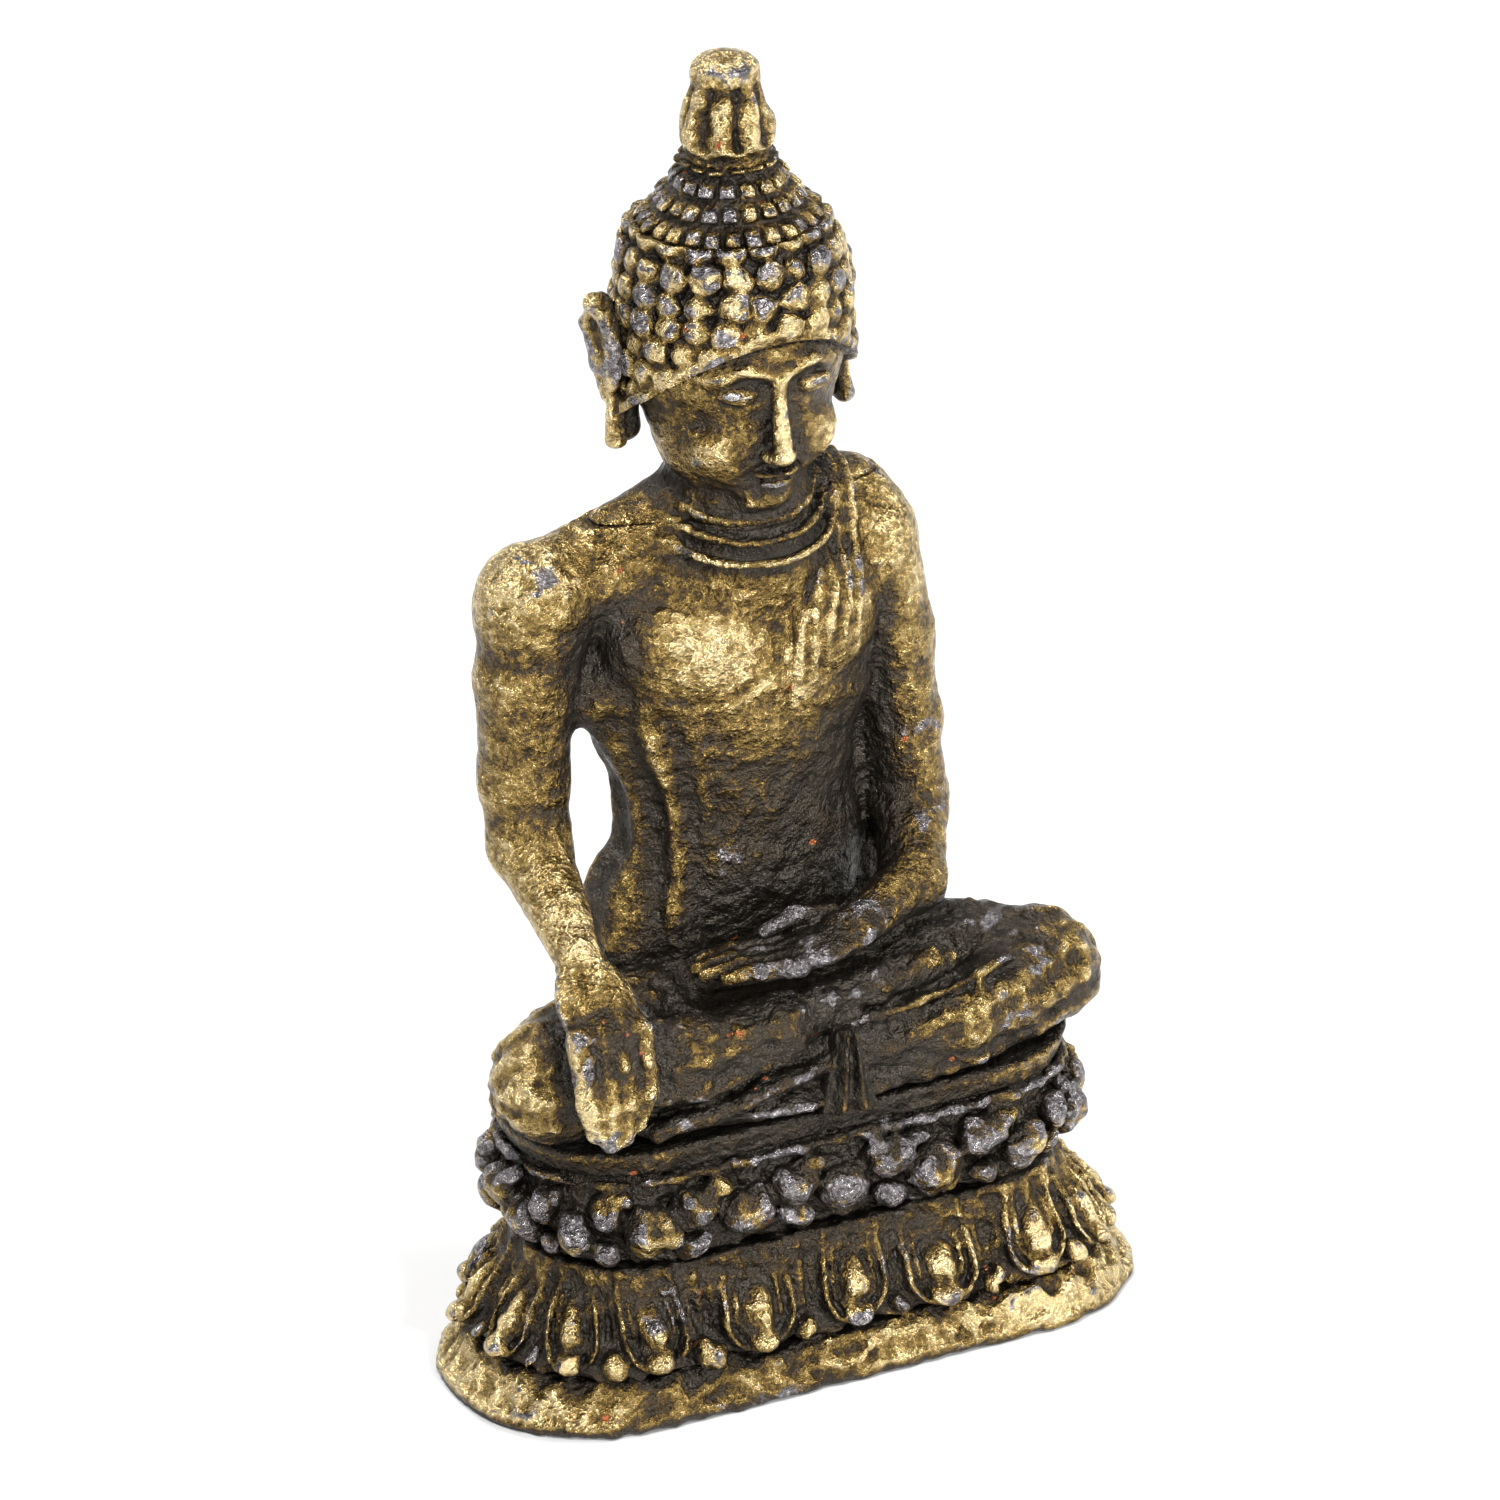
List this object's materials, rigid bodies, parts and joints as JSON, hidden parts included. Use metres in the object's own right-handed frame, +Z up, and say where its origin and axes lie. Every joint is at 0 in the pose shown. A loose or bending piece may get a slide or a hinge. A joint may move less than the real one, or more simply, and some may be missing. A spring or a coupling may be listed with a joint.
{
  "type": "buddha statue",
  "caption": "Small brass seated Buddha statue, earth-touching gesture, on a double lotus throne.",
  "frame": {"origin": "middle of the underside of the plinth, on the surface it stands on", "axes": "+Z up, -Y the front that the figure faces, +X the figure's left"},
  "size_m": [0.0166, 0.0078, 0.03],
  "materials": {
    "brass": "cast brass, bright on high spots, brown-black patina in the hollows",
    "dark_brass": "cast brass, mostly under dark patina",
    "worn_brass": "rubbed cast brass with grey worn tips",
    "pin_brass": "plain drawn brass wire"
  },
  "bodies": {
    "root": {"plinth": "brass", "lower_lotus": "dark_brass", "upper_lotus": "worn_brass", "seat": "dark_brass", "tie_rivet": "pin_brass", "locating_pins": "pin_brass", "legs": "brass", "robe_pleat": "dark_brass", "torso": "brass", "sanghati": "worn_brass", "right_arm": "brass", "right_hand": "worn_brass", "left_arm": "brass", "left_hand": "worn_brass", "shoulder_pins": "pin_brass", "wrist_pins": "pin_brass", "neck_pin": "pin_brass", "head": "brass", "right_ear": "brass", "left_ear": "brass", "hair_cap": "dark_brass", "ushnisha": "dark_brass", "finial": "worn_brass", "crown_pin": "pin_brass"}
  },
  "joints": []
}
